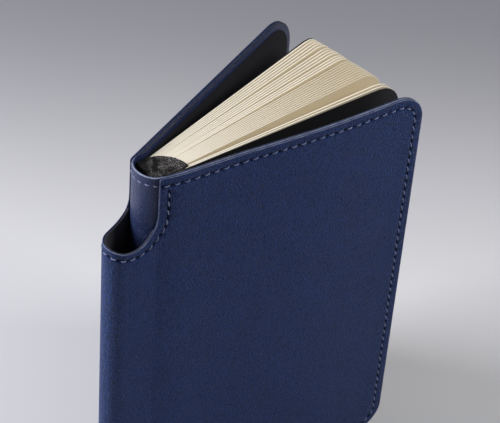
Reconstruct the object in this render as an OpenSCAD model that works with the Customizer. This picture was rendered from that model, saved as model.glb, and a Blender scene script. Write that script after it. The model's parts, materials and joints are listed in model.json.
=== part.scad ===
// Stitched leather notebook that stands on its tail with both covers ajar.
// A leather jacket is sewn over an inner case and wraps its spine loosely as a pen sleeve.
// +Z runs up from tail to head, the spine faces -X and the front cover is on the -Y side.
// The origin is the middle of the footprint. Lengths are in millimetres.

/* [Covers] */
// Height of both covers, tail to head
cover_h = 212; // [190:1:230]
// Width of each cover, hinge line to fore-edge
cover_w = 133; // [120:1:150]
// Radius of the fore-edge corners
corner_r = 16; // [10:0.5:22]
// Angle from the middle plane to each cover as the notebook stands
half_opening = 14.15; // [12:0.05:18]
// Thickness of the jacket leather, the outer skin
jacket_t = 1.1; // [0.9:0.1:1.2]
// Thickness of the inner case leather
case_t = 0.9; // [0.7:0.1:1]
// Thickness of the stiffening board
board_t = 0.8; // [0.6:0.1:0.9]
// Thickness of the black lining
lining_t = 0.4; // [0.3:0.1:0.4]

/* [Spine and pen sleeve] */
// Distance from the middle plane to each hinge line
hinge_half = 9.3; // [9.3:0.1:10.5]
// How far the inner spine bulges behind the hinge lines
spine_bulge = 3.6; // [3:0.1:4.2]
// Outer radius of the sleeve's round back
sleeve_r = 7; // [6.5:0.1:7.5]
// How far the sleeve stands out behind the hinge lines
sleeve_depth = 21; // [20:0.5:24]
// Depth of the sleeve's mouth below the covers' head
mouth_depth = 33.5; // [30:0.5:40]
// Radius of the curve where the mouth turns into the sleeve
mouth_r = 12; // [9:0.5:13]

/* [Pages] */
// Thickness of one signature of four leaves
signature_t = 0.47; // [0.4:0.01:0.47]
// Distance from the hinge lines to the pages' fore-edge
page_reach = 130; // [118:1:130]
// Radius of the pages' fore-edge corners
page_corner_r = 12; // [8:0.5:16]
// Distance from the covers' head and tail to the pages
square = 3; // [2.5:0.5:4]
// Thickness of the black flyleaves
flyleaf_t = 0.14; // [0.1:0.01:0.14]

/* [Stitching] */
// Distance of the stitch line from the leather's edge
stitch_margin = 4.4; // [4:0.1:5]
// Distance between stitches
stitch_pitch = 4.7; // [4:0.1:6]
// Visible length of one stitch
stitch_l = 3.1; // [2:0.1:3.4]
// Width of the thread
thread_w = 0.7; // [0.5:0.1:0.9]
// How far the thread stands proud of the leather
thread_h = 0.3; // [0.2:0.1:0.4]

/* [Hidden] */
// How the pages fan: number of signatures in each bunch, and the angles from the middle
// plane of the bunch's first and last one, counted from the front cover. The bunches with
// negative angles follow the front cover and the others follow the back cover.
bunches = [[2, -9.9, -9.2], [10, -6.2, -0.8], [3, 0.3, 1.25], [4, 2.05, 3.7], [5, 4.7, 6.9]];
front_signatures = bunches[0][0] + bunches[1][0];
signatures = front_signatures + bunches[2][0] + bunches[3][0] + bunches[4][0];
function signature_name(i) = str("signature_", i < 10 ? "0" : "", i);

$fn = 96;
// How far neighbouring shapes run into each other so that they join
weld = 0.01;
navy = [0.10, 0.13, 0.30];
black = [0.05, 0.05, 0.06];
cream = [0.93, 0.89, 0.76];
thread = [0.30, 0.33, 0.52];
grey = [0.55, 0.53, 0.50];

// Cover stack, measured inwards from the outer face
cover_t = jacket_t + case_t + board_t + lining_t;
// Gap that parts the leather at each hinge line, on the cover's side and on the spine's side
cover_gap = 0.5;
spine_gap = 0.3;
// Width of the case leather turned in round the board, and the board's play inside it
turn_in = 9;
board_play = 0.1;
// Bare margin round the lining, and where it starts beside the hinge
lining_margin = 3.5;
lining_start = 2;

// The pages' back edge, measured from the hinge lines, and the height of the pages
page_root = 2;
page_h = cover_h - 2 * square;
// Distance between neighbouring signatures when the notebook is shut
signature_pitch = signature_t + 0.02;
// Play between the outermost signature and its flyleaf
flyleaf_play = 0.03;
flyleaf_y = signatures / 2 * signature_pitch + flyleaf_play + flyleaf_t / 2;

// Angles of the flyleaves from the middle plane
flyleaf_front_angle = -10.4;
flyleaf_back_angle = 7.2;

// Inner spine: three shells on one axis, bulging towards -X and ending inside the jacket
spine_half = hinge_half - jacket_t - 0.2;
spine_edge_x = -0.2;
spine_sagitta = spine_bulge + spine_edge_x;
spine_r = (pow(spine_half, 2) + pow(spine_sagitta, 2)) / (2 * spine_sagitta);
spine_cx = spine_r - spine_bulge;
stiffener_half = 5.5;
stiffener_inset = 4;

// Sleeve profile: a round back joined to the hinge lines by its tangents
sleeve_cx = sleeve_r - sleeve_depth;
sleeve_reach = norm([sleeve_cx, hinge_half]);
sleeve_side = sqrt(pow(sleeve_reach, 2) - pow(sleeve_r, 2));
sleeve_taper = atan2(hinge_half, -sleeve_cx) - asin(sleeve_r / sleeve_reach);
sleeve_arc = 2 * sleeve_r * (90 - sleeve_taper) * PI / 180;
sleeve_girth = 2 * sleeve_side + sleeve_arc;
sleeve_lining_start = 1.5;

// Spine cloth: a strip behind the pages, folded over their head and tail as a lens
cloth_x = 0.9;
cloth_t = 0.4;
cloth_half = 5.5;
cloth_fold_r = 15;
cloth_lift = 0.25;

// Sewing: threads laid across the signatures' backs at evenly spaced stations
sewing_stations = 5;
sewing_r = 0.15;
sewing_x = 1.7;

// The footprint's middle, from the sleeve's back to the pages' fore-edge
fore_x = max([for (i = [1:signatures]) page_fore_x(i)]);
mid_x = (fore_x - sleeve_depth - thread_h) / 2;

// ---- Shared shapes ----

// A sheet's outline with two round corners on the right, from x0 to w and z0 to z1
module sheet_outline(x0, w, z0, z1, r) {
    translate([x0, z0]) square([w - r - x0, z1 - z0]);
    translate([w - r - weld, z0 + r]) square([r + weld, z1 - z0 - 2 * r]);
    translate([w - r, z0 + r]) circle(r);
    translate([w - r, z1 - r]) circle(r);
}

// Stands an outline up and gives it a thickness from y towards the middle plane
module upright(y, t) {
    translate([0, y + t, 0]) rotate([90, 0, 0]) linear_extrude(t) children();
}

// Turns a front piece about the front hinge line, from shut to its angle at rest
module about_front_hinge(angle) {
    translate([0, -hinge_half, 0]) rotate([0, 0, angle]) translate([0, hinge_half, 0]) children();
}

module mirror_to_back() {
    mirror([0, 1, 0]) children();
}

// Puts the hinge plane in its place over the footprint's middle
module placed() {
    translate([-mid_x, 0, 0]) children();
}

// One stitch: a slanted bar that lies on a face whose outside is -Y
module stitch() {
    slant = 12;
    translate([0, -thread_h / 2, 0]) rotate([0, slant, 0])
        cube([stitch_l, thread_h, thread_w], center = true);
}

// ---- Covers, drawn as the front cover ----

module cover_layer(depth, t, inset, start) {
    about_front_hinge(-half_opening)
        upright(-hinge_half + depth, t)
            sheet_outline(start, cover_w - inset, inset, cover_h - inset, corner_r - inset);
}

module cover_jacket() {
    cover_layer(0, jacket_t, 0, cover_gap);
}

// The inner case's panel with its edges turned in round the board
module cover_case() {
    difference() {
        cover_layer(jacket_t, case_t + board_t, 0, cover_gap);
        about_front_hinge(-half_opening)
            upright(-hinge_half + jacket_t + case_t, board_t + 1)
                sheet_outline(turn_in, cover_w - turn_in, turn_in, cover_h - turn_in,
                              corner_r - turn_in);
    }
}

module cover_board() {
    cover_layer(jacket_t + case_t, board_t, turn_in + board_play, turn_in + board_play);
}

module cover_lining() {
    cover_layer(jacket_t + case_t + board_t, lining_t, lining_margin, lining_start);
}

// Stitches along a straight run in the cover's face, from [x, z] to [x, z]
module stitch_run(from, to) {
    run = to - from;
    count = max(1, round(norm(run) / stitch_pitch));
    for (k = [0:count - 1])
        translate([from.x + run.x * (k + 0.5) / count, -hinge_half,
                   from.y + run.y * (k + 0.5) / count])
            rotate([0, -atan2(run.y, run.x), 0]) stitch();
}

// Stitches along an arc in the cover's face, about [x, z], from angle a0 to a1
module stitch_bend(centre, r, a0, a1) {
    count = max(1, round(r * abs(a1 - a0) * PI / 180 / stitch_pitch));
    for (k = [0:count - 1]) {
        a = a0 + (a1 - a0) * (k + 0.5) / count;
        translate([centre.x + r * cos(a), -hinge_half, centre.y + r * sin(a)])
            rotate([0, 90 - a, 0]) stitch();
    }
}

// Seam round the cover, with the branch that leaves it to follow the sleeve's mouth
module cover_seam() {
    m = stitch_margin;
    r = corner_r - m;
    top = cover_h - m;
    far = cover_w - corner_r;
    bend_z = cover_h - mouth_depth + mouth_r;
    bend_end = -acos(mouth_r / (mouth_r + m)) / 2;
    about_front_hinge(-half_opening) {
        stitch_run([cover_gap, top], [far, top]);
        stitch_bend([far, cover_h - corner_r], r, 90, 0);
        stitch_run([cover_w - m, cover_h - corner_r], [cover_w - m, corner_r]);
        stitch_bend([far, corner_r], r, 0, -90);
        stitch_run([far, m], [cover_gap, m]);
        stitch_run([m, top - m / 2], [m, bend_z]);
        stitch_bend([-mouth_r, bend_z], mouth_r + m, 0, bend_end);
    }
}

// ---- Inner spine ----

// A shell of the spine between two depths from its outer face, inside |y| < half
module spine_shell(depth, t, half, z0) {
    intersection() {
        translate([spine_cx, 0, z0]) linear_extrude(cover_h - 2 * z0)
            difference() {
                circle(spine_r - depth);
                circle(spine_r - depth - t);
            }
        translate([-spine_r, -half, 0]) cube([spine_r + spine_edge_x, 2 * half, cover_h]);
    }
}

// A row of stitches across the inner spine at height z
module spine_seam(z) {
    count = 4;
    half_angle = 34;
    for (k = [0:count - 1])
        translate([spine_cx, 0, z])
            rotate([0, 0, -90 + half_angle * (2 * (k + 0.5) / count - 1)])
                translate([0, -spine_r, 0]) stitch();
}

// ---- Pen sleeve ----

// The front half of the sleeve's wall between two depths: half its round back, and the flat
// side that runs from there along the tangent to x = -start
module sleeve_half(inset, t, start) {
    r = sleeve_r - inset;
    far = 3 * sleeve_r;
    intersection() {
        translate([sleeve_cx, 0]) rotate(-sleeve_taper) {
            difference() {
                circle(r);
                circle(r - t);
                translate([0, -far]) square([far, 2 * far]);
            }
            translate([0, -r]) square([sleeve_side - start / cos(sleeve_taper), t]);
        }
        translate([-2 * far, -far]) square([2 * far, far]);
    }
}

module sleeve_wall(inset, t, start) {
    difference() {
        linear_extrude(cover_h) {
            sleeve_half(inset, t, start);
            mirror([0, 1]) sleeve_half(inset, t, start);
        }
        mouth_cutter();
    }
}

// Everything above the sleeve's mouth: down the joints, round a bend and across
module mouth_cutter() {
    wide = 3 * hinge_half;
    far = 2 * sleeve_depth;
    bend_z = cover_h - mouth_depth + mouth_r;
    translate([-far, -wide / 2, bend_z]) cube([far + 1, wide, cover_h]);
    translate([-far, -wide / 2, cover_h - mouth_depth]) cube([far - mouth_r, wide, cover_h]);
    translate([-mouth_r, 0, bend_z]) rotate([90, 0, 0])
        cylinder(h = wide, r = mouth_r, center = true);
}

// Puts a stitch on the sleeve at girth s from the front hinge line, height z, tilted
module on_sleeve(s, z, tilt) {
    if (s < sleeve_side)
        translate([-s * cos(sleeve_taper), -hinge_half + s * sin(sleeve_taper), z])
            rotate([0, 0, -sleeve_taper]) rotate([0, tilt, 0]) children();
    else if (s < sleeve_side + sleeve_arc) {
        a = sleeve_taper + (s - sleeve_side) / sleeve_r * 180 / PI;
        translate([sleeve_cx, 0, z]) rotate([0, 0, -a])
            translate([0, -sleeve_r, 0]) rotate([0, tilt, 0]) children();
    } else
        mirror_to_back() on_sleeve(sleeve_girth - s, z, tilt) children();
}

// Half of the seam that follows the sleeve's mouth, from the front hinge round its bend
module mouth_seam_bend() {
    r = mouth_r + stitch_margin;
    bend_z = cover_h - mouth_depth + mouth_r;
    a_start = acos(mouth_r / r);
    count = 3;
    for (k = [0:count - 1]) {
        a = a_start + (90 - a_start) * (k + 0.5) / count;
        on_sleeve(mouth_r - r * cos(a), bend_z - r * sin(a), a - 90) stitch();
    }
}

module mouth_seam() {
    z = cover_h - mouth_depth - stitch_margin;
    span = sleeve_girth - 2 * mouth_r;
    count = round(span / stitch_pitch);
    mouth_seam_bend();
    mirror_to_back() mouth_seam_bend();
    for (k = [0:count - 1]) on_sleeve(mouth_r + span * (k + 0.5) / count, z, 0) stitch();
}

module sleeve_tail_seam() {
    count = round(sleeve_girth / stitch_pitch);
    for (k = [0:count - 1])
        on_sleeve(sleeve_girth * (k + 0.5) / count, stitch_margin, 0) stitch();
}

// ---- Spine cloth and sewing ----

// The part of the cloth folded over the pages, a lens against the strip
module cloth_fold(z) {
    translate([0, 0, z]) linear_extrude(cloth_t) intersection() {
        circle(cloth_fold_r);
        translate([cloth_x, -cloth_half]) square([cloth_fold_r, 2 * cloth_half]);
    }
}

module cloth() {
    low = square - cloth_lift - cloth_t;
    high = cover_h - square + cloth_lift;
    translate([cloth_x, -cloth_half, low]) cube([cloth_t, 2 * cloth_half, high + cloth_t - low]);
    cloth_fold(low);
    cloth_fold(high);
}

module sewing() {
    for (k = [1:sewing_stations])
        translate([sewing_x, 0, square + page_h * k / (sewing_stations + 1)])
            rotate([90, 0, 0]) cylinder(h = 2 * cloth_half, r = sewing_r, center = true);
}

// ---- Pages ----

// Angle at rest of signature i, counted from 1 at the front cover
function bunch_angle(i, b = 0) =
    i <= bunches[b][0]
        ? bunches[b][1] + (bunches[b][2] - bunches[b][1]) * (i - 1) / (bunches[b][0] - 1)
        : bunch_angle(i - bunches[b][0], b + 1);

// Closed offset of signature i from the middle plane, and how far its fore-edge reaches at rest
function page_y(i) = (i - (signatures + 1) / 2) * signature_pitch;
function page_fore_x(i) =
    page_reach * cos(bunch_angle(i))
        + (hinge_half - abs(page_y(i)) + signature_t / 2) * sin(abs(bunch_angle(i)));

// A page sheet at closed offset y from the middle plane, on the front side
module page_sheet(y, t, angle) {
    about_front_hinge(angle)
        upright(y - t / 2, t)
            sheet_outline(page_root, page_reach, square, square + page_h, page_corner_r);
}

// A signature turns about the hinge line of the cover it follows
module page_signature(i) {
    if (i <= front_signatures) page_sheet(page_y(i), signature_t, bunch_angle(i));
    else mirror_to_back() page_sheet(-page_y(i), signature_t, -bunch_angle(i));
}

// ---- Nodes ----

module inner_spine() { color(navy) placed() spine_shell(0, case_t, spine_half, 0); }
module spine_stiffener() {
    color(grey) placed() spine_shell(case_t, board_t, stiffener_half, stiffener_inset);
}
module spine_lining() {
    color(black) placed() spine_shell(case_t + board_t, lining_t, spine_half, lining_margin);
}
module pen_sleeve() { color(navy) placed() sleeve_wall(0, jacket_t, spine_gap); }
module sleeve_lining() {
    color(black) placed() sleeve_wall(jacket_t, lining_t, sleeve_lining_start);
}
module spine_cloth() { color(black) placed() cloth(); }
module sewing_thread() { color(cream) placed() sewing(); }
module spine_head_stitching() { color(thread) placed() spine_seam(cover_h - stitch_margin); }
module spine_tail_stitching() { color(thread) placed() spine_seam(stitch_margin); }
module sleeve_mouth_stitching() { color(thread) placed() mouth_seam(); }
module sleeve_tail_stitching() { color(thread) placed() sleeve_tail_seam(); }

module front_jacket() { color(navy) placed() cover_jacket(); }
module front_case() { color(navy) placed() cover_case(); }
module front_board() { color(grey) placed() cover_board(); }
module front_lining() { color(black) placed() cover_lining(); }
module front_stitching() { color(thread) placed() cover_seam(); }

module back_jacket() { color(navy) placed() mirror_to_back() cover_jacket(); }
module back_case() { color(navy) placed() mirror_to_back() cover_case(); }
module back_board() { color(grey) placed() mirror_to_back() cover_board(); }
module back_lining() { color(black) placed() mirror_to_back() cover_lining(); }
module back_stitching() { color(thread) placed() mirror_to_back() cover_seam(); }

module front_flyleaf() {
    color(black) placed() page_sheet(-flyleaf_y, flyleaf_t, flyleaf_front_angle);
}
module back_flyleaf() {
    color(black) placed() mirror_to_back() page_sheet(-flyleaf_y, flyleaf_t, -flyleaf_back_angle);
}
module signature(i) { color(cream) placed() page_signature(i); }

inner_spine();
spine_stiffener();
spine_lining();
pen_sleeve();
sleeve_lining();
spine_cloth();
sewing_thread();
spine_head_stitching();
spine_tail_stitching();
sleeve_mouth_stitching();
sleeve_tail_stitching();
front_jacket();
front_case();
front_board();
front_lining();
front_stitching();
back_jacket();
back_case();
back_board();
back_lining();
back_stitching();
front_flyleaf();
back_flyleaf();
for (i = [1:signatures])
    signature(i);
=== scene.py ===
import json
import math
import random

import bpy
import numpy as np
from mathutils import Matrix, Vector, kdtree
from mathutils.geometry import delaunay_2d_cdt


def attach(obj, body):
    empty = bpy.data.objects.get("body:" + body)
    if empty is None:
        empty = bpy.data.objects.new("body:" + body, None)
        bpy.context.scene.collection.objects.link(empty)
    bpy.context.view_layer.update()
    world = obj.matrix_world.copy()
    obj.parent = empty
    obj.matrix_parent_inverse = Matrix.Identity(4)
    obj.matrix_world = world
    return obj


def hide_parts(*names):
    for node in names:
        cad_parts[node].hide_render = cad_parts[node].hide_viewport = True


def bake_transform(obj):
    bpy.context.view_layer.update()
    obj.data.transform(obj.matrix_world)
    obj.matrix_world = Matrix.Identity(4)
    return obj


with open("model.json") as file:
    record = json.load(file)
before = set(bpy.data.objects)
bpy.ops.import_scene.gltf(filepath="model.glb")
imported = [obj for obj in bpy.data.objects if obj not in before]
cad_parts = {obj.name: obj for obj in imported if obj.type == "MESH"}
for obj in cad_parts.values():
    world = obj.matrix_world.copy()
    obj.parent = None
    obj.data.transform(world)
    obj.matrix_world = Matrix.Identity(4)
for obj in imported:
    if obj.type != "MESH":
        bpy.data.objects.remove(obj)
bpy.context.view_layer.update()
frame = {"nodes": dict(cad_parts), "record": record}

# Stitched leather notebook standing ajar on its tail, seen from above on its spine side.
# Shapes are worked out in millimetres from the hinge plane (x = 0) and put into the row
# frame by place(). Patterns are drawn flat as (s, z): s runs along the leather from the
# spine to the fore-edge and is 0 at the hinge line, and z is the height. Depths run from a
# sheet's outer face towards the pages.

rng = random.Random(7)

# ---- Sizes in mm, as in the CAD ----
MM = 0.001
COVER_H, COVER_W = 212.0, 133.0
OPENING = math.radians(14.15)
JACKET_T, CASE_T, BOARD_T, LINING_T = 1.1, 0.9, 0.8, 0.4
LINING_DEPTH = CASE_T + BOARD_T
TURN_IN = 9.0
LINING_MARGIN = 3.5
HINGE_HALF = 9.3
SPINE_HALF, SPINE_BULGE, SPINE_EDGE_X = 8.0, 3.6, -0.2
SLEEVE_R, SLEEVE_DEPTH = 7.0, 21.0
PAGE_ROOT, PAGE_REACH, PAGE_CORNER = 2.0, 130.0, 12.0
SQUARE = 3.0
SIGNATURES, SIGNATURE_PITCH, LEAVES = 24, 0.49, 4
FLYLEAF_T, FLYLEAF_Y = 0.14, 5.98
FLYLEAF_ANGLES = {"front": -10.4, "back": 7.2}
# Bunches of signatures: how many, and the first and last angle in degrees
BUNCHES = [(2, -9.9, -9.2), (10, -6.2, -0.8), (3, 0.3, 1.25), (4, 2.05, 3.7), (5, 4.7, 6.9)]
STITCH_MARGIN, STITCH_PITCH, STITCH_L = 4.4, 4.7, 2.8

spine_sagitta = SPINE_BULGE + SPINE_EDGE_X
spine_r = (SPINE_HALF ** 2 + spine_sagitta ** 2) / (2 * spine_sagitta)
spine_cx = spine_r - SPINE_BULGE
sleeve_cx = SLEEVE_R - SLEEVE_DEPTH
sleeve_reach = math.hypot(sleeve_cx, HINGE_HALF)
sleeve_side = math.sqrt(sleeve_reach ** 2 - SLEEVE_R ** 2)
sleeve_taper = math.atan2(HINGE_HALF, -sleeve_cx) - math.asin(SLEEVE_R / sleeve_reach)
sleeve_arc = SLEEVE_R * (math.pi - 2 * sleeve_taper)
sleeve_girth = 2 * sleeve_side + sleeve_arc

joints = {j["name"]: j for j in frame["record"]["behaviour"]["joints"]}
hinge_x = joints["front_cover_hinge"]["pos_m"][0]

# ---- Shapes that only the visual model has, in mm ----
# Depth of the sleeve's mouth below the head, against the girth from the front hinge line
MOUTH = [(0.0, 20.0), (0.25, 22.6), (1.3, 26.6), (4.2, 30.9), (7.1, 33.6), (10.2, 34.8),
         (13.2, 34.8), (16.6, 34.0), (21.5, 32.5), (26.0, 31.7), (33.0, 31.0), (40.0, 30.1),
         (44.5, 28.8), (48.0, 26.6), (49.9, 23.2), (50.29, 20.0)]
# The front jacket runs past the sleeve's back and is cut this far from the back hinge line
JACKET_CUT = 8.0
# The front case runs round the inner spine and is cut at this y
CASE_CUT_Y = 6.0
# The case leaves the cover at this s and lands on the inner spine at this y
CASE_START, CASE_LAND_Y = 2.0, -7.3
# How far each cover bows inwards (negative: outwards) against the distance from its hinge
BOWS = {"front": [(0, 0), (4, -0.7), (9, -1.3), (16, -1.5), (30, -1.5), (41, -1.65), (54, -2.2),
                  (69, -2.8), (80, -3.0), (92, -2.85), (108, -2.2), (120, -1.6), (133, -1.1),
                  (140, -1.0)],
        "back": [(0, 0), (140, 0)]}
CORNERS = {"front": 14.5, "back": 20.0}


def place(points):
    """Millimetres from the hinge plane to metres in the row frame."""
    out = np.asarray(points, float) * MM
    out[..., 0] += hinge_x
    return out


def smooth(a, b, v):
    """0 before a, 1 after b, and a smooth step between."""
    t = np.clip((v - a) / (b - a), 0, 1)
    return t * t * (3 - 2 * t)


def left_of(tangents):
    """Unit normals on the left of some tangents."""
    t = tangents / np.linalg.norm(tangents, axis=1)[:, None]
    return np.stack([-t[:, 1], t[:, 0]], 1)


def between(at, places, rows):
    """Rows of two numbers, given at rising places, read off at other places."""
    return np.stack([np.interp(at, places, rows[:, c]) for c in (0, 1)], -1)


def quarter_turn(n):
    return [math.radians(90 * k / n) for k in range(n + 1)]


def gauss(taps, step, width):
    """Weights of a blur over that many samples to each side."""
    k = np.exp(-0.5 * (np.arange(-taps, taps + 1) * step / width) ** 2)
    return k / k.sum()


# ---- Plan curves ----

# Width of the blur that rounds a path's kinks
JACKET_SOFTEN, CASE_SOFTEN = 0.6, 0.7
JACKET_PAST_BACK, CASE_LOW = 22, -30
BOW_STEP, BOW_TAPS, BOW_SOFTEN, BOW_HINGE_FADE = 0.5, 12, 2.6, 4.0
BOW_ENDS = (-12, 152)


class Path:
    """A plan curve along which a flat pattern is bent; depth runs towards the pages."""
    STEP = 0.1
    PAST = 4.0

    def __init__(self, raw, low, high, soften):
        s = np.arange(low - self.PAST, high + self.PAST, self.STEP)
        xy = np.array([raw(v) for v in s])
        taps = int(3 * soften / self.STEP)
        k = gauss(taps, self.STEP, soften)
        ends = [xy[0] + (xy[0] - xy[1]) * np.arange(taps, 0, -1)[:, None],
                xy, xy[-1] + (xy[-1] - xy[-2]) * np.arange(1, taps + 1)[:, None]]
        padded = np.vstack(ends)
        xy = np.stack([np.convolve(padded[:, c], k, "valid") for c in (0, 1)], 1)
        self.s, self.xy, self.inward = s, xy, left_of(np.gradient(xy, s, axis=0))

    def at(self, points, depth):
        """Pattern points (s, z) on the bent sheet, that far inside its outer face."""
        xy, inward = (between(points[:, 0], self.s, rows) for rows in (self.xy, self.inward))
        return np.column_stack([xy + inward * np.reshape(depth, (-1, 1)), points[:, 1]])


def bow_curve(side):
    """A smooth version of a cover's bow, with none at the hinge line."""
    at, by = zip(*BOWS[side])
    s = np.arange(*BOW_ENDS, BOW_STEP)
    raw = np.pad(np.interp(s, at, by), BOW_TAPS, "edge")
    soft = np.convolve(raw, gauss(BOW_TAPS, BOW_STEP, BOW_SOFTEN), "valid")
    soft -= np.interp(0, s, soft) * np.exp(-(s / BOW_HINGE_FADE) ** 2)
    return lambda v: float(np.interp(v, s, soft))


def cover_point(s, depth, bow):
    """A point of the front cover at local x = s, bowed like the real one."""
    d = depth + bow(s)
    return (s * math.cos(OPENING) + d * math.sin(OPENING),
            -HINGE_HALF - s * math.sin(OPENING) + d * math.cos(OPENING))


def sleeve_point(g):
    """A point of the sleeve's outer face at girth g from the front hinge line."""
    if g > sleeve_girth / 2:
        x, y = sleeve_point(sleeve_girth - g)
        return x, -y
    if g < sleeve_side:
        return -g * math.cos(sleeve_taper), -HINGE_HALF + g * math.sin(sleeve_taper)
    a = sleeve_taper + (g - sleeve_side) / SLEEVE_R
    return sleeve_cx - SLEEVE_R * math.sin(a), -SLEEVE_R * math.cos(a)


def jacket_path(bow):
    """The jacket leather's outer face: along the cover, then round the sleeve."""
    return Path(lambda s: cover_point(s, 0, bow) if s >= 0 else sleeve_point(-s),
                -sleeve_girth / 2 - JACKET_PAST_BACK, COVER_W, JACKET_SOFTEN)


def case_path(bow):
    """The case leather's outer face: along the jacket, then over to the inner spine."""
    x0, y0 = cover_point(CASE_START, JACKET_T, bow)
    x1 = spine_cx - math.sqrt(spine_r ** 2 - CASE_LAND_Y ** 2)
    gap = math.hypot(x0 - x1, y0 - CASE_LAND_Y)
    land = math.asin(-CASE_LAND_Y / spine_r)

    def raw(s):
        if s >= CASE_START:
            return cover_point(s, JACKET_T, bow)
        back = CASE_START - s
        if back < gap:
            f = back / gap
            return x0 + (x1 - x0) * f, y0 + (CASE_LAND_Y - y0) * f
        a = land - (back - gap) / spine_r
        return spine_cx - spine_r * math.cos(a), -spine_r * math.sin(a)

    def s_at(y):
        """The pattern place over the inner spine at this y."""
        return CASE_START - gap - (land + math.asin(y / spine_r)) * spine_r

    path = Path(raw, CASE_LOW, COVER_W, CASE_SOFTEN)
    path.s_at = s_at
    return path


# ---- Flat patterns ----

def run(points, step):
    """Points spaced evenly along a polyline, without its last point."""
    out = []
    for a, b in zip(points[:-1], points[1:]):
        n = max(1, round(math.dist(a, b) / step))
        out += [(a[0] + (b[0] - a[0]) * k / n, a[1] + (b[1] - a[1]) * k / n) for k in range(n)]
    return out


def arc(cx, cz, r, a0, a1, step=0.6):
    """Points along an arc between two angles in degrees, without its last point."""
    n = max(3, round(abs(a1 - a0) / 180 * math.pi * r / step))
    angles = [math.radians(a0 + (a1 - a0) * k / n) for k in range(n)]
    return [(cx + r * math.cos(a), cz + r * math.sin(a)) for a in angles]


def even(points, step):
    """Resamples a polyline evenly and returns points and their lengths along it."""
    points = np.array(points, float)
    length = np.r_[0, np.cumsum(np.linalg.norm(np.diff(points, axis=0), axis=1))]
    n = max(2, round(length[-1] / step))
    at = np.linspace(0, length[-1], n + 1)
    return between(at, length, points), at


def spline(points, step, per_span=24):
    """A smooth curve through points, evenly sampled, without its last point."""
    p = [np.array(q, float) for q in points]
    p = [2 * p[0] - p[1]] + p + [2 * p[-1] - p[-2]]
    dense = []
    for a, b, c, d in zip(p, p[1:], p[2:], p[3:]):
        for t in np.linspace(0, 1, per_span, endpoint=False):
            dense.append(0.5 * (2 * b + (c - a) * t + (2 * a - 5 * b + 4 * c - d) * t ** 2
                                + (3 * b - a - 3 * c + d) * t ** 3))
    line, _ = even(dense + [p[-2]], step)
    return [tuple(q) for q in line[:-1].tolist()]


def mouth_curve(side, g_cut):
    """The mouth's edge from the hinge line to the cut, in one side's pattern."""
    marks = [(g, COVER_H - d) for g, d in MOUTH]
    if side == "back":
        marks = [(sleeve_girth - g, z) for g, z in reversed(marks)]
    return [(-g, z) for g, z in spline(marks, 0.3) if g < g_cut]


def mark_cut(points, cut):
    """An outline that ends in a cut edge, and which of its points are on that edge."""
    marks = [False] * len(points) + [True] * len(cut)
    marks[0] = True
    return np.array(points + cut), np.array(marks)


def panel_outline(side, s0, inset, head=None, step=1.2):
    """Outline of a cover layer, counter-clockwise, with its cut edge at s0."""
    w, low, r = COVER_W - inset, inset, CORNERS[side] - inset
    high = COVER_H - inset
    points = run([(s0, low), (w - r, low)], step)
    points += arc(w - r, low + r, r, -90, 0) + run([(w, low + r), (w, high - r)], step)
    points += arc(w - r, high - r, r, 0, 90)
    points += head[:-1] if head else run([(w - r, high), (s0, high)], step)
    end = head[-1] if head else (s0, high)
    return mark_cut(points, run([end, (s0, low)], step))


def jacket_outline(side, s0):
    """The jacket's outline: the cover's panel, then down to the mouth and along its edge."""
    corner = 1.3
    head = run([(COVER_W - CORNERS[side], COVER_H), (corner, COVER_H)], 1.0)
    head += arc(corner, COVER_H - corner, corner, 90, 180, 0.35)
    head += run([(0.0, COVER_H - corner), (0.0, COVER_H - MOUTH[0][1])], 0.6)
    curve = mouth_curve(side, -s0)
    end = curve[-1][1] + (curve[-1][1] - curve[-2][1]) * 0.5
    return panel_outline(side, s0, 0, head + curve + [(s0, end)])


def sleeve_lining_outline(side, s0):
    """The lining inside the sleeve, trimmed just below the mouth's edge."""
    below, start, tab = 0.25, -1.5, 0.45
    curve = [(s, z - below) for s, z in mouth_curve(side, -s0) if s0 + 0.15 < s < start - 0.3]
    top = [(start, curve[0][1] + tab)] + curve
    points = run([(s0, 0.0), (start, 0.0)], 0.8) + run([(start, 0.0), top[0]], 1.2) + top
    return mark_cut(points, run([(s0, curve[-1][1]), (s0, 0.0)], 1.2))


def edge_normals(points):
    """Unit normals of a closed outline, pointing inwards."""
    return left_of(np.roll(points, -1, 0) - np.roll(points, 1, 0))


def inside(points, ring):
    """Which points lie inside a closed ring."""
    x, z = points[:, 0], points[:, 1]
    result = np.zeros(len(points), bool)
    for (x0, z0), (x1, z1) in zip(ring, np.roll(ring, -1, 0)):
        if z0 == z1:
            continue
        crosses = (z0 > z) != (z1 > z)
        result ^= crosses & (x < (x1 - x0) * (z - z0) / (z1 - z0) + x0)
    return result


def nearest(tree_points, queries):
    """Distance from each query to the nearest tree point."""
    tree = kdtree.KDTree(len(tree_points))
    for i, p in enumerate(tree_points):
        tree.insert((*p, 0), i)
    tree.balance()
    return np.array([tree.find((*q, 0))[2] for q in queries])


def lattice(s_lines, z_lines):
    s, z = np.meshgrid(s_lines, z_lines)
    return np.stack([s.ravel(), z.ravel()], 1)


def loop_edges(n, first=0):
    return [(first + i, first + (i + 1) % n) for i in range(n)]


def triangulate(points, edges):
    """Triangles over flat points, inside their outer edges."""
    out = delaunay_2d_cdt([Vector(p) for p in points], edges, [], 1, 1e-6)
    if len(out[0]) != len(points):
        raise ValueError(f"{len(points) - len(out[0])} pattern points coincide")
    return [tuple(f) for f in out[2]]


def fill(ring, inner, clear):
    """Triangles over a ring, using the inner points that aren't within clear of it."""
    inner = inner[inside(inner, ring)]
    if len(inner):
        inner = inner[nearest(ring, inner) > clear]
    points = np.vstack([ring, inner])
    return points, triangulate(points, loop_edges(len(ring)))


# ---- Meshes ----

SHARP_CUT = math.radians(55)


def flipped(faces):
    return [tuple(reversed(f)) for f in faces]


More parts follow.
